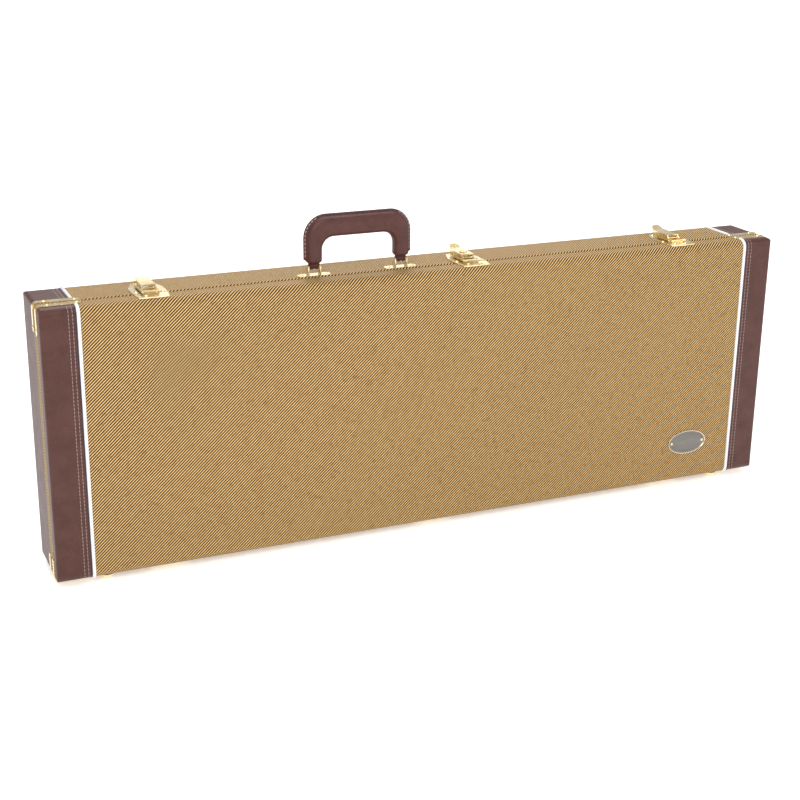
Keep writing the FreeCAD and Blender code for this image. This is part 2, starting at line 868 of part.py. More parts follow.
def shell_walls(core, y0, y1):
    top = block(-beyond, beyond, y0, y1, inner_high_z, beyond)
    spine = block(-beyond, beyond, y0, y1, -beyond, inner_low_z)
    left = block(-beyond, -inner_x, y0, y1, inner_low_z, inner_high_z)
    right = block(inner_x, beyond, y0, y1, inner_low_z, inner_high_z)
    return [core.common(region) for region in (top, spine, left, right)]


def shell_nodes(names, boards, tools):
    return {name: drilled(board, tools) for name, board in zip(names, boards)}


def half_nodes(prefix, side_y, shells, boards, board_names, nails, rivets, plain):
    outer, guard_shell = shells
    rim = seam_gap / 2
    side = body_side if side_y > 0 else lid_side
    feet_y = back_y - foot_inset if side_y > 0 else front_y + foot_inset
    holes = [shank(one) for one in nails + rivets] + [foot_hole(end, feet_y) for end in (-1, 1)]
    tweed, leather = skins(outer, side(rim), side(leather_seam_margin), holes)
    nodes = shell_nodes(board_names, boards, holes)
    nodes[prefix + "_tweed"] = tweed
    nodes[prefix + "_leather"] = leather
    nodes[prefix + "_piping"] = one_shape([piping(end, side_y) for end in (-1, 1)])
    nodes[prefix + "_guards"] = one_shape([drilled(guard_shell.common(guard_region(*corner)), holes)
                                           for corner in corners(side_y)])
    nodes[prefix + "_nails"] = one_shape([fastener_solid(one) for one in nails])
    nodes[prefix + "_rivets"] = one_shape([fastener_solid(one) for one in rivets])
    nodes[prefix + "_feet"] = one_shape([foot(end, feet_y) for end in (-1, 1)])
    for name, shapes in plain.items():
        nodes[name] = one_shape([drilled(shape, holes) for shape in shapes])
    return nodes


def body_nodes(shells, core):
    back = core.common(block(-beyond, beyond, back_board_y, beyond, -beyond, beyond))
    boards = [back] + shell_walls(core, body_rim_y, back_board_y)
    names = ["back_panel", "top_wall", "spine_wall", "left_wall", "right_wall"]
    nails = [nail for corner in corners(1) for nail in guard_nails(*corner)]
    rivets = hinge_rivets(1) + handle_rivets()
    for x in latch_positions:
        rivets += latch_base_rivets(x)
    plain = {"hinge_body_leaves": [hinge_leaf(x, 1) for x in hinge_positions],
             "handle_plates": [at_handle(handle_plate(side)) for side in (-1, 1)]}
    for name, x in zip(("left", "middle", "right"), latch_positions):
        plain["latch_base_" + name] = [at_latch(latch_base(), x)]
    return half_nodes("body", 1, shells, boards, names, nails, rivets, plain)


def lid_nodes(shells, core):
    front = core.common(block(-beyond, beyond, -beyond, front_board_y, -beyond, beyond))
    boards = [front] + shell_walls(core, front_board_y, lid_rim_y)
    names = ["front_panel", "lid_top_wall", "lid_spine_wall", "lid_left_wall", "lid_right_wall"]
    nails = [nail for corner in corners(-1) for nail in guard_nails(*corner)] + badge_nails()
    rivets = hinge_rivets(-1)
    for x in latch_positions:
        rivets += catch_rivets(x)
    plain = {"hinge_lid_leaves": [hinge_leaf(x, -1) for x in hinge_positions],
             "latch_catches": [at_latch(latch_catch(), x) for x in latch_positions],
             "badge_plate": [badge_plate()]}
    return half_nodes("lid", -1, shells, boards, names, nails, rivets, plain)


def lining_nodes():
    start = pad_start_y()
    floor = block(-inner_x, inner_x, floor_y, back_board_y, inner_low_z, inner_high_z)
    sides = [block(-inner_x, inner_x, start, floor_y, pad_high_z, inner_high_z),
             block(-inner_x, inner_x, start, floor_y, inner_low_z, pad_low_z)]
    end_pads = [block(-inner_x, pad_left_x, start, floor_y, pad_low_z, pad_high_z),
                block(pad_right_x, inner_x, start, floor_y, pad_low_z, pad_high_z)]
    lid_pad_y = front_board_y + lid_pad_thick
    neck = (neck_block_start, neck_block_start + neck_block_length, seam_y + neck_block_inset, floor_y,
            mid_z + neck_gap / 2, pad_high_z)
    return {
        "rim_tongue": rim_tongue(),
        "floor_pad": floor,
        "wall_pads": one_shape(sides),
        "end_pads": one_shape(end_pads),
        "waist_bolsters": one_shape([bolster(1), bolster(-1)]),
        "neck_block": soft_block(neck, pad_round),
        "neck_cradle": neck_cradle(),
        "lid_pad": block(-inner_x, inner_x, front_board_y, lid_pad_y, inner_low_z, inner_high_z),
        "lid_wall_lining": one_shape(ring_strips(0, lining_thick, lid_pad_y,
                                                 seam_y - tongue_reach - side_gap)),
        "compartment_walls": box_walls(),
        "compartment_pins": one_shape([box_pin(box_start, 1), box_pin(box_end, -1)]),
        "compartment_lid": box_lid(),
        "compartment_pull": pull_tab(),
    }


def latch_nodes():
    nodes = {"latch_pins": one_shape([at_latch(pivot_pin(), x) for x in latch_positions]),
             "lock_keeper": at_latch(keeper(), latch_positions[1])}
    for name, x in zip(("left", "middle", "right"), latch_positions):
        nodes["latch_lever_" + name] = at_latch(latch_lever(name == "middle"), x)
        nodes["latch_link_" + name] = at_latch(latch_link(), x)
    nodes["lock_housing"] = at_latch(lock_housing(), latch_positions[1])
    nodes["lock_plug"] = at_latch(lock_plug(), latch_positions[1])
    return nodes


def handle_nodes():
    return {"handle_pins": one_shape([at_handle(handle_pin(side)) for side in (-1, 1)]),
            "handle_grip": at_handle(handle_grip()),
            "handle_core": at_handle(handle_core())}


def all_nodes():
    outside = envelope(0)
    core = envelope(skin_thick)
    shells = (outside.cut(core), envelope(-guard_thick).cut(outside))
    nodes = body_nodes(shells, core)
    nodes.update(lid_nodes(shells, core))
    nodes.update(lining_nodes())
    nodes.update(latch_nodes())
    nodes.update(handle_nodes())
    nodes["hinge_pins"] = one_shape([hinge_pin(x) for x in hinge_positions])
    return nodes


os.makedirs("parts", exist_ok=True)
for node, shape in all_nodes().items():
    one_shape([shape]).exportStep("parts/" + node + ".step")
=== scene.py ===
import json
import math

import bpy
from mathutils import Euler, Matrix, Vector


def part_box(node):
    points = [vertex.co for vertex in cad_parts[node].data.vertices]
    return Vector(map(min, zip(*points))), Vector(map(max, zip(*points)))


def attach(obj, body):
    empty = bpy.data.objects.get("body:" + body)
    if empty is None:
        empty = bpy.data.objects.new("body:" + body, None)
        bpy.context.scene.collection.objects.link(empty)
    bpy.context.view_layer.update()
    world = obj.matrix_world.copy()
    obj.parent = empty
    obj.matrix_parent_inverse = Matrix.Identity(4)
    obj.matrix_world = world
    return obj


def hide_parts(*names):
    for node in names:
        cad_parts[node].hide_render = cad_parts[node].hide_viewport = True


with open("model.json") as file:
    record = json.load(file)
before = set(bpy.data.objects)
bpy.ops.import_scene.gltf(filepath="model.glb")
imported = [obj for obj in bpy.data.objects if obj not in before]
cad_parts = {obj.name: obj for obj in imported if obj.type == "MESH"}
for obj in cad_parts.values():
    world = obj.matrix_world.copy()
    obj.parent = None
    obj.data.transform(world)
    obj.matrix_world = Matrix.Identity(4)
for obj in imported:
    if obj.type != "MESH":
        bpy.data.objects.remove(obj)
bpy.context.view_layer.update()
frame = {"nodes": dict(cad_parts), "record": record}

nodes = frame["nodes"]
mm = 0.001


# Everything on the case is placed from these CAD boxes and sizes.

bodyTweedLow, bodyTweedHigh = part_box("body_tweed")
lidTweedLow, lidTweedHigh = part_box("lid_tweed")
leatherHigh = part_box("lid_leather")[1]
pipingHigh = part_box("lid_piping")[1]

caseSize = {
    "endX": leatherHigh.x,
    "frontY": lidTweedLow.y,
    "backY": bodyTweedHigh.y,
    "seamY": (lidTweedHigh.y + bodyTweedLow.y) / 2,
    "lowZ": lidTweedLow.z,
    "highZ": lidTweedHigh.z,
    "edgeRadius": 10 * mm,
    "leatherWidth": 45 * mm,
    "pipingWidth": pipingHigh.z - lidTweedHigh.z,
    "guardWidth": 14.2 * mm,
    "guardLong": 56 * mm,
}


# Shader maths: a wire is a socket that can be added to, scaled and so on.

class Wire:
    def __init__(self, finish, socket):
        self.finish = finish
        self.socket = socket

    def maths(self, operation, first, second=None):
        inputs = {0: first}
        if second is not None:
            inputs[1] = second
        return self.finish.add("ShaderNodeMath", {"operation": operation}, inputs)

    def __add__(self, other):
        return self.maths("ADD", self, other)

    def __sub__(self, other):
        return self.maths("SUBTRACT", self, other)

    def __rsub__(self, other):
        return self.maths("SUBTRACT", other, self)

    def __mul__(self, other):
        return self.maths("MULTIPLY", self, other)

    def __truediv__(self, other):
        return self.maths("DIVIDE", self, other)

    __radd__ = __add__
    __rmul__ = __mul__

    def least(self, other):
        return self.maths("MINIMUM", self, other)

    def most(self, other):
        return self.maths("MAXIMUM", self, other)

    def size(self):
        return self.maths("ABSOLUTE", self)

    def sign(self):
        return self.maths("SIGN", self)

    def cycle(self):
        return self.maths("FRACT", self)

    def sine(self):
        return self.maths("SINE", self)

    def angleFrom(self, other):
        return self.maths("ARCTAN2", self, other)

    def above(self, edge):
        return self.maths("GREATER_THAN", self, edge)

    def step(self, start, end, low=0.0, high=1.0):
        return self.finish.add("ShaderNodeMapRange", {"interpolation_type": "SMOOTHSTEP"},
                               {0: self, 1: start, 2: end, 3: low, 4: high})


class Finish:
    def __init__(self, name, **values):
        self.material = bpy.data.materials.new(name)
        self.material.use_nodes = True
        self.tree = self.material.node_tree
        self.shader = self.tree.nodes["Principled BSDF"]
        self.set(values)

    def set(self, values):
        for name, value in values.items():
            self.plug(self.shader.inputs[name], value)

    def plug(self, socket, value):
        if isinstance(value, Wire):
            self.tree.links.new(value.socket, socket)
        elif isinstance(value, tuple) and len(value) == 3 and socket.type == "RGBA":
            socket.default_value = (*value, 1.0)
        else:
            socket.default_value = value

    def add(self, kind, settings=None, inputs=None, output=0):
        node = self.tree.nodes.new(kind)
        for name, value in (settings or {}).items():
            setattr(node, name, value)
        for name, value in (inputs or {}).items():
            self.plug(node.inputs[name], value)
        return Wire(self, node.outputs[output])

    def place(self):
        return self.add("ShaderNodeTexCoord", output="Object")

    def split(self, vector):
        node = self.add("ShaderNodeSeparateXYZ", inputs={0: vector}).socket.node
        return [Wire(self, node.outputs[axis]) for axis in range(3)]

    def joined(self, x, y, z):
        return self.add("ShaderNodeCombineXYZ", inputs={0: x, 1: y, 2: z})

    def noise(self, scale, detail=3.0, roughness=0.5, vector=None):
        return self.add("ShaderNodeTexNoise", inputs={
            "Vector": vector or self.place(), "Scale": scale, "Detail": detail, "Roughness": roughness})

    def cells(self, scale):
        return self.add("ShaderNodeTexVoronoi", inputs={"Vector": self.place(), "Scale": scale})

    def mixed(self, amount, first, second):
        return self.add("ShaderNodeMix", {"data_type": "RGBA"}, {0: amount, 6: first, 7: second}, output=2)

    def bump(self, height, distance):
        self.set({"Normal": self.add("ShaderNodeBump", inputs={
            "Height": height, "Distance": distance, "Strength": 1.0})})


def makeTweed():
    tweed = {"pitchAlong": 4.6 * mm, "pitchAround": 4.18 * mm, "knot": 1.75 * mm,
             "light": (0.76, 0.465, 0.165), "straw": (0.86, 0.57, 0.23),
             "dark": (0.016, 0.007, 0.002), "rust": (0.42, 0.17, 0.06)}
    cloth = Finish("tweedCloth", **{"Specular IOR Level": 0.3})
    x, y, z = cloth.split(cloth.place())
    radius = caseSize["edgeRadius"]
    halfHeight = (caseSize["highZ"] - caseSize["lowZ"]) / 2
    middleZ = (caseSize["highZ"] + caseSize["lowZ"]) / 2
    depth = caseSize["backY"] - caseSize["frontY"]
    lap = 2 * (halfHeight - radius) + math.pi * radius + depth - 2 * radius
    around = 2 * lap / round(2 * lap / tweed["pitchAround"])     # whole lines all the way round

    def wrapped(fromFace):                                  # girth from the middle of a face
        up = (z - middleZ).size()
        turn = (up - (halfHeight - radius)).most(0.0).angleFrom((radius - fromFace).most(0.0))
        return up.least(halfHeight - radius) + turn * radius + (fromFace - radius).most(0.0)

    onBody = y.above(caseSize["seamY"])
    lidGirth = wrapped(y - caseSize["frontY"])
    bodyGirth = lap - wrapped(caseSize["backY"] - y)
    girth = (lidGirth * (1.0 - onBody) + bodyGirth * onBody) * (z - middleZ).sign()
    wander = cloth.noise(9.0, 1.0) * 0.3
    across = x / tweed["pitchAlong"] - girth / around + wander
    along = (x + girth) / tweed["knot"]
    ridge = ((across * (2 * math.pi)).sine() - 0.08).step(-0.42, 0.42)
    weave = (along * (2 * math.pi) + across.cycle() * 4.0).sine() * 0.5 + 0.5
    fibre = cloth.noise(1400.0, 3.0, 0.7)
    bright = cloth.mixed(cloth.noise(300.0, 2.0).step(0.35, 0.65), tweed["light"], tweed["straw"])
    bright = cloth.mixed(cloth.noise(160.0, 2.0).step(0.58, 0.74) * 0.4, bright, tweed["rust"])
    level = ridge * (0.82 + 0.18 * weave) * fibre.step(0.1, 0.5, 0.85, 1.0)
    cloth.set({"Base Color": cloth.mixed(level, tweed["dark"], bright),
               "Roughness": fibre.step(0.3, 0.7, 0.5, 0.68)})
    cloth.bump(ridge * (0.7 + 0.3 * weave) + fibre * 0.1, 0.3 * mm)
    return cloth.material


def makeLeather(name, colour, mottleAndHighlightColour):
    hide = Finish(name, **{"Specular IOR Level": 0.45, "Coat Roughness": 0.4})
    grain = hide.cells(620.0)
    poresAndHighlights = hide.noise(1100.0, 4.0, 0.65)
    mottle = hide.noise(45.0, 4.0, 0.6)
    # Base Color: the pale speckle from the pore noise is painted grain highlight; the mottle is the leather's
    # own uneven tone
    hide.set({"Base Color": hide.mixed((mottle * 0.25 + poresAndHighlights * 0.85).step(0.42, 0.78), colour, mottleAndHighlightColour),
              "Roughness": poresAndHighlights.step(0.3, 0.7, 0.38, 0.56),
              "Coat Weight": mottle.step(0.3, 0.7, 0.02, 0.12)})
    hide.bump(grain.step(0.0, 0.7) + poresAndHighlights * 0.6, 0.16 * mm)
    return hide.material


def makePlainFinish(name, colour, otherColour, scale, roughness, depth, **values):
    made = Finish(name, **values)
    speckle = made.noise(scale, 4.0, 0.6)
    made.set({"Base Color": made.mixed(speckle.step(0.3, 0.7), colour, otherColour),
              "Roughness": made.noise(scale * 0.3, 3.0).step(0.3, 0.7, roughness * 0.8, roughness * 1.2)})
    made.bump(speckle, depth)
    return made.material


def makeGold():
    gold = Finish("giltBrass", Metallic=1.0)
    wear = gold.noise(220.0, 5.0, 0.7)
    cloud = gold.noise(45.0, 3.0)
    gold.set({"Base Color": gold.mixed(cloud.step(0.35, 0.7), (0.93, 0.81, 0.54), (0.82, 0.61, 0.29)),
              "Roughness": wear.step(0.35, 0.75, 0.17, 0.32)})
    gold.bump(wear, 0.02 * mm)
    return gold.material


def makeBadgeMetal():
    metal = Finish("badgeMetal", Metallic=1.0)
    x, y, z = metal.split(metal.place())
    brushed = metal.noise(60.0, 4.0, 0.7, metal.joined(x * 0.6, y, z * 18.0))
    metal.set({"Base Color": metal.mixed(brushed.step(0.3, 0.7), (0.19, 0.18, 0.165), (0.27, 0.255, 0.23)),
               "Roughness": brushed.step(0.3, 0.7, 0.32, 0.48)})
    metal.bump(brushed, 0.02 * mm)
    return metal.material


def makePlywood():
    wood = Finish("plywood")
    x, y, z = wood.split(wood.place())
    rings = wood.noise(14.0, 5.0, 0.65, wood.joined(x * 0.3, y * 12.0, z * 3.0))
    wood.set({"Base Color": wood.mixed(rings.step(0.35, 0.65), (0.62, 0.45, 0.27), (0.48, 0.32, 0.17)),
              "Roughness": rings.step(0.3, 0.7, 0.5, 0.68)})
    wood.bump(rings, 0.08 * mm)
    return wood.material


def makePlush():
    plush = Finish("plush", **{"Sheen Weight": 0.7, "Sheen Roughness": 0.4,
                               "Sheen Tint": (0.9, 0.45, 0.4, 1.0)})
    pile = plush.noise(1300.0, 3.0, 0.7)
    brushed = plush.noise(30.0, 4.0, 0.65)
    plush.set({"Base Color": plush.mixed((brushed * 0.8 + pile * 0.3).step(0.35, 0.75),
                                         (0.20, 0.022, 0.024), (0.42, 0.075, 0.065)),
               "Roughness": brushed.step(0.3, 0.7, 0.8, 0.98)})
    plush.bump(pile + brushed * 1.5, 0.6 * mm)
    return plush.material


tweedCloth = makeTweed()
endLeather = makeLeather("endLeather", (0.054, 0.0115, 0.0066), (0.124, 0.036, 0.0235))
handleLeather = makeLeather("handleLeather", (0.056, 0.0125, 0.0085), (0.126, 0.036, 0.026))
giltBrass = makeGold()
badgeMetal = makeBadgeMetal()
plywood = makePlywood()
plushCloth = makePlush()
pipingVinyl = makePlainFinish("pipingVinyl", (0.92, 0.92, 0.96), (0.84, 0.85, 0.90), 120.0, 0.32, 0.05 * mm)
plainSteel = makePlainFinish("plainSteel", (0.55, 0.55, 0.56), (0.42, 0.42, 0.43), 300.0, 0.3, 0.01 * mm,
                             Metallic=1.0)
ribbonCloth = makePlainFinish("ribbonCloth", (0.30, 0.05, 0.045), (0.42, 0.09, 0.08), 900.0, 0.55, 0.1 * mm)
stitchThread = makePlainFinish("stitchThread", (0.46, 0.36, 0.33), (0.33, 0.24, 0.22), 1500.0, 0.7, 0.1 * mm)
# the same thread as stitchThread, made near-black: painted shade for the stitches along the handle bar
darkThread = makePlainFinish("darkThread", (0.030, 0.014, 0.014), (0.050, 0.022, 0.020), 1500.0, 0.7,
                             0.1 * mm)
# near-black strip beside the piping: painted shadow in the groove between the bead and the leather
grooveVinyl = makePlainFinish("grooveVinyl", (0.012, 0.014, 0.034), (0.022, 0.022, 0.045), 300.0, 0.5,
                              0.05 * mm)
badgeRim = makePlainFinish("badgeRim", (0.74, 0.68, 0.56), (0.66, 0.59, 0.46), 300.0, 0.2, 0.01 * mm,
                           Metallic=1.0)
print("finishes made")


nodeFinish = {
    "tweed": tweedCloth, "leatherette": endLeather, "handle_leather": handleLeather, "piping": pipingVinyl,
    "gilt_brass": giltBrass, "steel": plainSteel, "badge_metal": badgeMetal, "plywood": plywood,
    "plush": plushCloth, "ribbon": ribbonCloth,
}
nodeSlot = {entry["node"]: entry["material_slot"] for entry in frame["record"]["subparts"]}
for name, node in nodes.items():
    node.data.materials.clear()
    node.data.materials.append(nodeFinish[nodeSlot[name]])
print("CAD nodes finished")


def placeCamera():
    view = {"azimuth": -23.883, "elevation": 19.223, "roll": 0.658, "lens": 66.94,
            "place": (-0.8241, -1.7780, 0.8528)}
    turn = Euler((math.radians(90 - view["elevation"]), 0, math.radians(view["azimuth"]))).to_matrix()
    turn = turn @ Matrix.Rotation(math.radians(view["roll"]), 3, "Z")
    bpy.ops.object.camera_add(location=view["place"], rotation=turn.to_euler())
    camera = bpy.context.object
    camera.data.lens = view["lens"]
    camera.data.sensor_width = 36
    camera.data.clip_end = 50
    bpy.context.scene.camera = camera


def placeLights():
    lights = [
        {"place": (-1.5, -2.4, 2.4), "aim": (0, 0, 0.2), "size": 1.8, "power": 48},
        {"place": (2.2, -1.8, 1.5), "aim": (0.2, 0, 0.2), "size": 1.2, "power": 14},
        {"place": (0.2, 1.4, 2.4), "aim": (0, 0, 0.3), "size": 1.6, "power": 30},
        {"place": (1.35, 3.2, 1.6), "aim": (0, 0, 0.37), "size": 1.9, "power": 8.5},
    ]
    for light in lights:
        aim = (Vector(light["aim"]) - Vector(light["place"])).to_track_quat("-Z", "Y").to_euler()
        bpy.ops.object.light_add(type="AREA", location=light["place"], rotation=aim)
        lamp = bpy.context.object.data
        lamp.size = light["size"]
        lamp.energy = light["power"]
    world = bpy.data.worlds.new("studio")
    bpy.context.scene.world = world
    world.use_nodes = True
    sky = world.node_tree.nodes["Background"]
    place = world.node_tree.nodes.new("ShaderNodeTexCoord")
    height = world.node_tree.nodes.new("ShaderNodeSeparateXYZ")
    shade = world.node_tree.nodes.new("ShaderNodeValToRGB")
    shade.color_ramp.elements[0].color = (0.34, 0.34, 0.35, 1.0)
    shade.color_ramp.elements[1].color = (1.0, 1.0, 1.0, 1.0)
    shade.color_ramp.elements[1].position = 0.45
    world.node_tree.links.new(place.outputs["Generated"], height.inputs[0])
    world.node_tree.links.new(height.outputs["Z"], shade.inputs[0])
    world.node_tree.links.new(shade.outputs[0], sky.inputs["Color"])
    sky.inputs["Strength"].default_value = 0.70


def placeFloor():
    bpy.ops.mesh.primitive_plane_add(size=400, location=(0, 0, 0))
    floor = bpy.context.object
    floor.name = "studioFloor"
    pale = makePlainFinish("paleFloor", (0.95, 0.95, 0.95), (0.94, 0.94, 0.94), 3.0, 0.7, 0.0)
    glow = pale.node_tree.nodes["Principled BSDF"]
    glow.inputs["Emission Color"].default_value = (1.0, 1.0, 1.0, 1.0)
    glow.inputs["Emission Strength"].default_value = 0.40
    floor.data.materials.append(pale)


# Making and handing over pieces.

bodyOf = {node: body for body, members in frame["record"]["behaviour"]["bodies"].items() for node in members}


def selectOnly(piece):
    bpy.ops.object.select_all(action="DESELECT")
    piece.select_set(True)
    bpy.context.view_layer.objects.active = piece


def startEdit(piece):
    selectOnly(piece)
    bpy.ops.object.mode_set(mode="EDIT")
    bpy.ops.mesh.select_mode(type="FACE")
    bpy.ops.mesh.select_all(action="DESELECT")


def endEdit():
    bpy.ops.object.mode_set(mode="OBJECT")


def selectFaces(piece, wanted):
    bpy.ops.object.mode_set(mode="OBJECT")
    for face in piece.data.polygons:
        face.select = wanted(face)
    bpy.ops.object.mode_set(mode="EDIT")


def applyModifier(piece, kind, **settings):
    modifier = piece.modifiers.new(kind.title(), kind)
    for name, value in settings.items():
        setattr(modifier, name, value)
    selectOnly(piece)
    bpy.ops.object.modifier_apply(modifier=modifier.name)


def joinPieces(pieces, name):
    bpy.ops.object.select_all(action="DESELECT")
    for piece in pieces:
        piece.select_set(True)
    bpy.context.view_layer.objects.active = pieces[0]
    if len(pieces) > 1:
        bpy.ops.object.join()
    pieces[0].name = name
    return pieces[0]


def handOver(piece, material, body, stands=(), smooth=40):
    selectOnly(piece)
    bpy.ops.object.transform_apply(location=True, rotation=True, scale=True)
    bpy.ops.object.shade_smooth_by_angle(angle=math.radians(smooth))
    if not piece.data.materials:
        piece.data.materials.append(material)
    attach(piece, body)
    if stands:
        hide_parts(*stands)


def copyNode(name, newName):
    piece = bpy.data.objects.new(newName, nodes[name].data.copy())
    bpy.context.collection.objects.link(piece)
    piece.data.materials.clear()
    startEdit(piece)
    bpy.ops.mesh.select_all(action="SELECT")
    bpy.ops.mesh.remove_doubles(threshold=0.001 * mm)
    bpy.ops.mesh.dissolve_limited(angle_limit=math.radians(1))
    endEdit()
    return piece


# Brass hardware: the CAD shape with its edges rounded over.

hardware = {
    "rounding": {"body_guards": 0.3, "lid_guards": 0.3, "latch_catches": 0.35, "handle_plates": 0.4,
                 "latch_base_left": 0.35, "latch_base_middle": 0.35, "latch_base_right": 0.35,
                 "latch_lever_left": 0.4, "latch_lever_middle": 0.4, "latch_lever_right": 0.4,
                 "latch_link_left": 0.5, "latch_link_middle": 0.5, "latch_link_right": 0.5,
                 "lock_housing": 0.4, "lock_plug": 0.2, "lock_keeper": 0.15, "hinge_body_leaves": 0.25,
                 "hinge_lid_leaves": 0.25},
    "domes": ("body_feet", "lid_feet", "body_nails", "lid_nails", "body_rivets", "lid_rivets"),
}

for name, rounding in hardware["rounding"].items():
    piece = copyNode(name, name + "_fine")
    applyModifier(piece, "BEVEL", width=rounding * mm, segments=2, limit_method="ANGLE",
                  angle_limit=math.radians(35), use_clamp_overlap=True)
    handOver(piece, giltBrass, bodyOf[name], (name,))
    applyModifier(piece, "WEIGHTED_NORMAL", weight=50, keep_sharp=True)
for name in hardware["domes"]:
    piece = copyNode(name, name + "_fine")
    handOver(piece, giltBrass, bodyOf[name], (name,))
print("hardware rounded")


# Piping: a round bead and, beside it, a near-black strip that is painted shadow in the groove, drawn round
# each half of the case.

edging = {"beadSides": 16, "grooveSides": 8, "grooveRadius": 0.75 * mm, "grooveSink": 0.3 * mm,
          "bendSteps": 8}


def wrapBead(x, sideY, radius, sink, sides):
    low, high, turn = caseSize["lowZ"], caseSize["highZ"], caseSize["edgeRadius"]
    startY = caseSize["seamY"] + sideY * caseSize["guardWidth"]
    flatY = (caseSize["backY"] if sideY > 0 else caseSize["frontY"]) - sideY * turn
    bpy.ops.mesh.primitive_circle_add(vertices=sides, radius=radius, fill_type="NGON",
                                      location=(x, startY, high - sink), rotation=(math.radians(90), 0, 0))
    bead = bpy.context.object
    bpy.ops.object.mode_set(mode="EDIT")
    bpy.ops.mesh.select_all(action="SELECT")
    legs = ((0, flatY - startY, 0), (0, 0, low - high + 2 * turn), (0, startY - flatY, 0))
    centres = ((x, flatY, high - turn), (x, flatY, low + turn))
    for step, leg in enumerate(legs):
        bpy.ops.mesh.extrude_region_move(TRANSFORM_OT_translate={"value": leg})
        if step < 2:
            bpy.ops.mesh.spin(steps=edging["bendSteps"], angle=math.radians(90) * sideY,
                              center=centres[step], axis=(1, 0, 0))
    bpy.ops.mesh.select_all(action="SELECT")
    bpy.ops.mesh.remove_doubles(threshold=0.001 * mm)
    bpy.ops.mesh.normals_make_consistent(inside=False)
    endEdit()
    return bead


pipingX = caseSize["endX"] - caseSize["leatherWidth"] - caseSize["pipingWidth"]
for half, sideY in (("lid", -1), ("body", 1)):
    beads = [wrapBead(side * pipingX, sideY, caseSize["pipingWidth"], 0, edging["beadSides"])
             for side in (-1, 1)]
    handOver(joinPieces(beads, half + "PipingBeads"), pipingVinyl, bodyOf[half + "_tweed"],
             (half + "_piping",))
    # the groove strips are near-black: painted shadow beside the bead
    grooveX = pipingX + caseSize["pipingWidth"] + edging["grooveRadius"]
    grooveShadows = [wrapBead(side * grooveX, sideY, edging["grooveRadius"], edging["grooveSink"],
                        edging["grooveSides"]) for side in (-1, 1)]
    handOver(joinPieces(grooveShadows, half + "PipingGrooves"), grooveVinyl, bodyOf[half + "_tweed"])
print("piping wrapped")


# Stitches: one short thread, set out along each line.

thread = {"length": 4.3 * mm, "width": 0.85 * mm, "height": 0.6 * mm, "pitch": 4.9 * mm,
          "rows": (5 * mm, 10 * mm)}


def makeStitch(length, width, height):
    bpy.ops.mesh.primitive_uv_sphere_add(segments=6, ring_count=4, radius=0.5,
                                         rotation=(0, math.radians(90), 0))
    stitch = bpy.context.object
    bpy.ops.object.transform_apply(location=False, rotation=True, scale=False)
    stitch.scale = (length, width, height)
    bpy.ops.object.transform_apply(location=False, rotation=False, scale=True)
    return stitch


def sewRow(stitch, spots):
    copies = []
    for point, along, out in spots:
        copy = bpy.data.objects.new("stitchCopy", stitch.data.copy())
        bpy.context.collection.objects.link(copy)
        side = out.cross(along)
        copy.matrix_world = Matrix.Translation(point) @ Matrix((along, side, out)).transposed().to_4x4()
        copies.append(copy)
    return copies


def wrapSpots(x, sideY):
    low, high, turn = caseSize["lowZ"], caseSize["highZ"], caseSize["edgeRadius"]
    startY = caseSize["seamY"] + sideY * (caseSize["guardWidth"] + 1 * mm)
    flatY = (caseSize["backY"] if sideY > 0 else caseSize["frontY"]) - sideY * turn
    flat, arc, face = abs(flatY - startY), math.pi * turn / 2, high - low - 2 * turn
    total = 2 * flat + 2 * arc + face
    count = int(total / thread["pitch"])
    spots = []
    for number in range(count):
        girth = (number + 0.5) * total / count
        mirrored = girth > total / 2
        run = total - girth if mirrored else girth
        if run < flat:
            y, z, out = startY + sideY * run, high, Vector((0, 0, 1))
        elif run < flat + arc:
            angle = (run - flat) / turn
            out = Vector((0, sideY * math.sin(angle), math.cos(angle)))
            y, z = flatY + turn * out.y, high - turn + turn * out.z
        else:
            y, z, out = flatY + sideY * turn, high - turn - (run - flat - arc), Vector((0, sideY, 0))
        if mirrored:
            z, out = low + high - z, Vector((0, out.y, -out.z))
        along = Vector((1, 0, 0)).cross(out)
        spots.append((Vector((x, y, z)), along, out))
    return spots


stitch = makeStitch(thread["length"], thread["width"], thread["height"])
for half, sideY in (("lid", -1), ("body", 1)):
    sewn = []
    for side in (-1, 1):
        for row in thread["rows"]:
            rowX = side * (caseSize["endX"] - caseSize["leatherWidth"] + row)
            sewn += sewRow(stitch, wrapSpots(rowX, sideY))
    handOver(joinPieces(sewn, half + "EndStitching"), stitchThread, bodyOf[half + "_leather"])
bpy.data.objects.remove(stitch)
print("ends stitched")


# The tweed's rolled edge along the body's side of the seam, between the latches.

hem = {"radius": 2.1 * mm, "sink": 0.5 * mm, "gap": 1.0 * mm, "seamGap": 0.3 * mm, "sides": 16,
       "taper": 0.55}
latchBoxes = [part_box("latch_base_" + name) for name in ("left", "middle", "right")]


def makeHem(startX, endX, z):
    y = caseSize["seamY"] + hem["seamGap"] + hem["radius"]
    bpy.ops.mesh.primitive_circle_add(vertices=hem["sides"], radius=hem["radius"] * hem["taper"],
                                      fill_type="NGON", location=(startX, y, z),
                                      rotation=(0, math.radians(90), 0))
    roll = bpy.context.object
    bpy.ops.object.mode_set(mode="EDIT")
    bpy.ops.mesh.select_all(action="SELECT")
    tip = hem["radius"]
    for reach, grow in ((tip, 1 / hem["taper"]), (endX - startX - 2 * tip, 1.0), (tip, hem["taper"])):
        bpy.ops.mesh.extrude_region_move(TRANSFORM_OT_translate={"value": (reach, 0, 0)})
        bpy.ops.transform.resize(value=(1, grow, grow))
    bpy.ops.mesh.select_all(action="SELECT")
    bpy.ops.mesh.normals_make_consistent(inside=False)
    endEdit()
    return roll


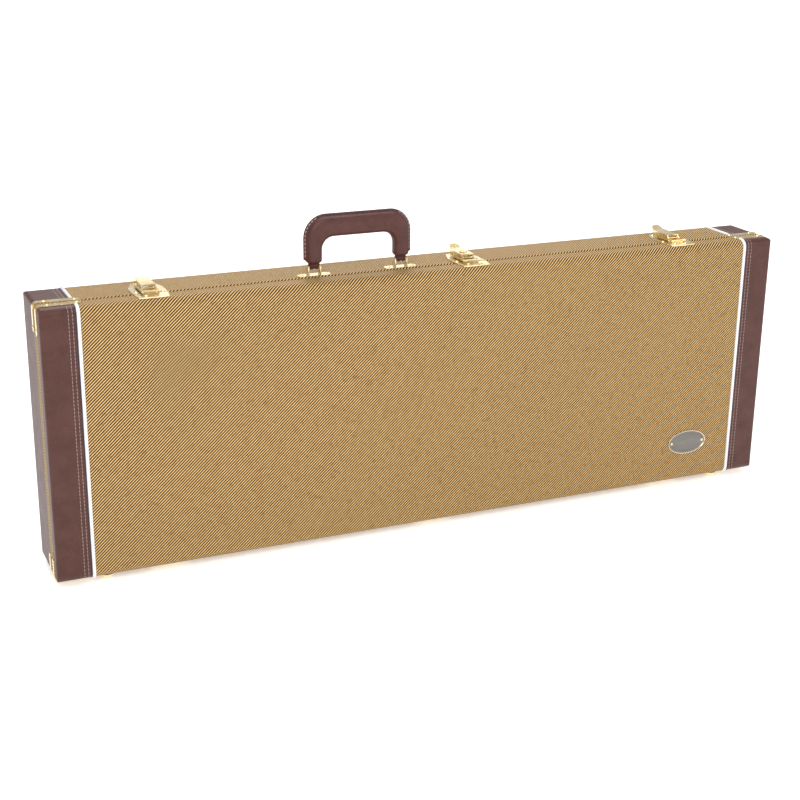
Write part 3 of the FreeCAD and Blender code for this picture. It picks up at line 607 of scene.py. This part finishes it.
stops = [-(caseSize["endX"] - caseSize["guardLong"])]
for low, high in latchBoxes:
    stops += [low.x, high.x]
stops.append(-stops[0])
hems = [makeHem(stops[index] + hem["gap"], stops[index + 1] - hem["gap"], caseSize["highZ"] - hem["sink"])
        for index in range(0, len(stops), 2)]
handOver(joinPieces(hems, "bodyHem"), tweedCloth, bodyOf["body_tweed"])
print("hem rolled")


# Handle: leather drawn over the core, its edges pressed together into a stitched fin.

grip = {"voxel": 0.8 * mm, "relax": 34, "fin": 4.0 * mm, "finHalf": 1.5 * mm, "stitchPitch": 5.0 * mm,
        "stitch": (3.9 * mm, 1.5 * mm, 1.3 * mm), "stitchIn": 1.6 * mm, "outerRadius": 27 * mm,
        "finStart": 25 * mm}
gripLow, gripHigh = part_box("handle_grip")
handleSkin = copyNode("handle_grip", "handleSkin")
applyModifier(handleSkin, "REMESH", mode="VOXEL", voxel_size=grip["voxel"])
applyModifier(handleSkin, "SMOOTH", factor=0.5, iterations=grip["relax"])
handOver(handleSkin, handleLeather, "handle", ("handle_grip",), 60)


def finSpots(sideY):
    middleX, middleY = (gripLow.x + gripHigh.x) / 2, (gripLow.y + gripHigh.y) / 2
    inwards = grip["fin"] - grip["stitchIn"]
    halfWide = (gripHigh.x - gripLow.x) / 2 - inwards
    top = gripHigh.z - inwards
    turn = grip["outerRadius"] + grip["stitchIn"]
    leg = top - turn - (caseSize["highZ"] + grip["finStart"])
    arc, bar = math.pi * turn / 2, halfWide - turn
    total = leg + arc + bar
    count = int(total / grip["stitchPitch"])
    out = Vector((0, sideY, 0))
    legs, bars = [], []
    for number in range(count):
        run = (number + 0.5) * total / count
        if run < leg:
            spot, along = Vector((-halfWide, 0, top - turn - leg + run)), Vector((0, 0, 1))
        elif run < leg + arc:
            angle = (run - leg) / turn
            spot = Vector((-halfWide + turn - turn * math.cos(angle), 0, top - turn + turn * math.sin(angle)))
            along = Vector((math.sin(angle), 0, math.cos(angle)))
        else:
            spot, along = Vector((-bar + run - leg - arc, 0, top)), Vector((1, 0, 0))
        for mirror in (1, -1):
            place = Vector((middleX + mirror * spot.x, middleY + sideY * grip["finHalf"], spot.z))
            heading = Vector((mirror * along.x, 0, along.z))
            (bars if run > leg + 0.75 * arc else legs).append((place, heading, out))
    return legs, bars


stitch = makeStitch(*grip["stitch"])
# one seam: the leg stitches take the thread's own colour, the bar stitches a near-black copy that is painted
# shade
paleStitches, shadedBarStitches = [], []
for sideY in (-1, 1):
    legs, bars = finSpots(sideY)
    paleStitches += sewRow(stitch, legs)
    shadedBarStitches += sewRow(stitch, bars)
handOver(joinPieces(paleStitches, "handleLegStitching"), stitchThread, "handle")
handOver(joinPieces(shadedBarStitches, "handleBarStitching"), darkThread, "handle")
bpy.data.objects.remove(stitch)
print("handle covered")


# Badge: an oval plate with a bright rim and a plain engraved border.

badge = {"rim": 0.9 * mm, "slope": 0.4 * mm, "drop": 0.45 * mm, "border": 2.6 * mm, "line": 0.5 * mm,
         "engraved": 0.25 * mm, "engravedSlope": 0.1 * mm, "rounding": 0.25 * mm, "rimEdge": 0.5 * mm,
         "backSkin": 0.2 * mm}
badgeLow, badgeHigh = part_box("badge_plate")
badgeSize = badgeHigh - badgeLow
bpy.ops.mesh.primitive_cylinder_add(vertices=72, radius=0.5, depth=1, location=(badgeLow + badgeHigh) / 2,
                                    rotation=(math.radians(90), 0, 0))
plate = bpy.context.object
plate.scale = (badgeSize.x, badgeSize.z, badgeSize.y)
bpy.ops.object.transform_apply(location=True, rotation=True, scale=True)
startEdit(plate)
selectFaces(plate, lambda face: face.normal.y < -0.9)
bpy.ops.mesh.inset(thickness=badge["rim"], depth=0)
bpy.ops.mesh.inset(thickness=badge["slope"], depth=-badge["drop"])
bpy.ops.mesh.inset(thickness=badge["border"], depth=0)
bpy.ops.mesh.inset(thickness=badge["engravedSlope"], depth=-badge["engraved"])
bpy.ops.mesh.inset(thickness=badge["line"], depth=0)
bpy.ops.mesh.inset(thickness=badge["engravedSlope"], depth=badge["engraved"])
endEdit()
applyModifier(plate, "BEVEL", width=badge["rounding"], segments=2, limit_method="ANGLE",
              angle_limit=math.radians(50))
plate.name = "badgeOval"
plate.data.materials.append(badgeRim)
plate.data.materials.append(badgeMetal)
badgeMiddle = (badgeLow + badgeHigh) / 2
inside = badge["rim"] + badge["rimEdge"]
for face in plate.data.polygons:
    across = (face.center.x - badgeMiddle.x) / (badgeSize.x / 2 - inside)
    upward = (face.center.z - badgeMiddle.z) / (badgeSize.z / 2 - inside)
    if across * across + upward * upward < 1 and face.center.y < badgeHigh.y - badge["backSkin"]:
        face.material_index = 1
handOver(plate, badgeRim, bodyOf["badge_plate"], ("badge_plate",), 30)
print("badge made")


# Lining: flat pads crowned in the middle, and shaped supports filled by a short cloth simulation.

pads = {"round": 2.2 * mm, "crown": 1.4 * mm, "inset": 16 * mm, "clear": 0.3 * mm, "fill": 0.7,
        "rises": (0.75, 0.25), "wallThick": 8 * mm, "liningThick": 1.2 * mm, "liningCrown": 0.2 * mm,
        "liningFill": 0.3}


def makePad(name, low, high, axis, side, crown):
    low, high = Vector(low), Vector(high)
    size = high - low
    middle = (low + high) / 2
    bpy.ops.mesh.primitive_cube_add(size=1, location=middle)
    pad = bpy.context.object
    pad.name = name
    pad.scale = [size[index] - 2 * pads["clear"] for index in range(3)]
    bpy.ops.object.transform_apply(location=True, rotation=True, scale=True)
    push = [0, 0, 0]
    push[axis] = -side * crown
    startEdit(pad)
    selectFaces(pad, lambda face: face.normal[axis] * side > 0.9)
    bpy.ops.transform.translate(value=push)
    shortest = min(size[index] for index in range(3) if index != axis)
    for rise in pads["rises"]:
        bpy.ops.mesh.inset(thickness=min(pads["inset"], shortest * 0.2), depth=crown * rise)
    endEdit()
    applyModifier(pad, "BEVEL", width=min(pads["round"], min(size) * 0.3), segments=3, limit_method="ANGLE",
                  angle_limit=math.radians(50))
    applyModifier(pad, "SUBSURF", levels=1, render_levels=1)
    return pad


def handPad(pad, body, stands):
    handOver(pad, plushCloth, body, stands, 60)


floorLow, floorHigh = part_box("floor_pad")
handPad(makePad("floorPad", floorLow, floorHigh, 1, -1, pads["crown"]), "case_body", ("floor_pad",))
lidLow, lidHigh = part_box("lid_pad")
handPad(makePad("lidPad", lidLow, lidHigh, 1, 1, pads["crown"]), "case_lid", ("lid_pad",))

wallThick, crown = pads["wallThick"], pads["crown"]
wallLow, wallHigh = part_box("wall_pads")
walls = [makePad("topWallPad", (wallLow.x, wallLow.y, wallHigh.z - wallThick), wallHigh, 2, -1, crown),
         makePad("spineWallPad", wallLow, (wallHigh.x, wallHigh.y, wallLow.z + wallThick), 2, 1, crown)]
handPad(joinPieces(walls, "wallPadding"), "case_body", ("wall_pads",))
endLow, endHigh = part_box("end_pads")
endPads = [makePad("leftEndPad", endLow, (endLow.x + wallThick, endHigh.y, endHigh.z), 0, 1, crown),
           makePad("rightEndPad", (endHigh.x - wallThick, endLow.y, endLow.z), endHigh, 0, -1, crown)]
handPad(joinPieces(endPads, "endPadding"), "case_body", ("end_pads",))

liningLow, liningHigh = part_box("lid_wall_lining")
liningThick, liningCrown = pads["liningThick"], pads["liningCrown"]
strips = [makePad("lidTopLining", (liningLow.x, liningLow.y, liningHigh.z - liningThick), liningHigh,
                  2, -1, liningCrown),
          makePad("lidSpineLining", liningLow, (liningHigh.x, liningHigh.y, liningLow.z + liningThick),
                  2, 1, liningCrown),
          makePad("lidLeftLining", (liningLow.x, liningLow.y, liningLow.z + liningThick),
                  (liningLow.x + liningThick, liningHigh.y, liningHigh.z - liningThick), 0, 1, liningCrown),
          makePad("lidRightLining", (liningHigh.x - liningThick, liningLow.y, liningLow.z + liningThick),
                  (liningHigh.x, liningHigh.y, liningHigh.z - liningThick), 0, -1, liningCrown)]
handPad(joinPieces(strips, "lidWallLining"), "case_lid", ("lid_wall_lining",))
print("flat pads made")

supports = {"voxel": 5 * mm, "shrink": 0.97, "pressure": 4.0, "frames": 20, "grow": 2.2 * mm,
            "fill": 0.8, "quality": 4, "smooth": 2}
supportNames = {"waist_bolsters": "waistBolsters", "neck_block": "neckBlock", "neck_cradle": "neckCradle"}


def shrinkParts(piece):
    startEdit(piece)
    bpy.ops.mesh.select_all(action="SELECT")
    bpy.ops.mesh.separate(type="LOOSE")
    endEdit()
    parts = list(bpy.context.selected_objects)
    for part in parts:
        corners = [Vector(corner) for corner in part.bound_box]
        middle = sum(corners, Vector()) / 8
        startEdit(part)
        bpy.ops.mesh.select_all(action="SELECT")
        bpy.ops.transform.resize(value=(supports["shrink"],) * 3, center_override=middle)
        endEdit()
    return joinPieces(parts, piece.name)


filled = []
for name, newName in supportNames.items():
    support = shrinkParts(copyNode(name, newName))
    applyModifier(support, "REMESH", mode="VOXEL", voxel_size=supports["voxel"])
    applyModifier(support, "SMOOTH", factor=0.5, iterations=supports["smooth"])
    filled.append((name, support, [vertex.co.copy() for vertex in support.data.vertices]))

for name, support, before in filled:
    cloth = support.modifiers.new("filling", "CLOTH")
    cloth.settings.use_pressure = True
    cloth.settings.uniform_pressure_force = supports["pressure"]
    cloth.settings.effector_weights.gravity = 0
    cloth.settings.quality = supports["quality"]
    cloth.point_cache.frame_end = supports["frames"]
for step in range(1, supports["frames"] + 1):
    bpy.context.scene.frame_set(step)
for name, support, before in filled:
    selectOnly(support)
    bpy.ops.object.modifier_apply(modifier="filling")
    for vertex, start in zip(support.data.vertices, before):
        shift = vertex.co - start
        if shift.length > supports["grow"]:
            vertex.co = start + shift.normalized() * supports["grow"]
bpy.context.scene.frame_set(1)
for name, support, before in filled:
    applyModifier(support, "SUBSURF", levels=1, render_levels=1)
    handPad(support, "case_body", (name,))
print("supports filled")


# The ribbon pull on the compartment's lid, folded back on itself.

pull = {"bend": 0.35 * mm}
pullPiece = copyNode("compartment_pull", "compartmentRibbon")
applyModifier(pullPiece, "BEVEL", width=pull["bend"], segments=2, limit_method="ANGLE",
              angle_limit=math.radians(40))
handOver(pullPiece, ribbonCloth, bodyOf["compartment_pull"], ("compartment_pull",))
print("ribbon made")


placeCamera()
placeLights()
placeFloor()
bpy.context.scene.view_settings.view_transform = "Standard"
print("studio placed")
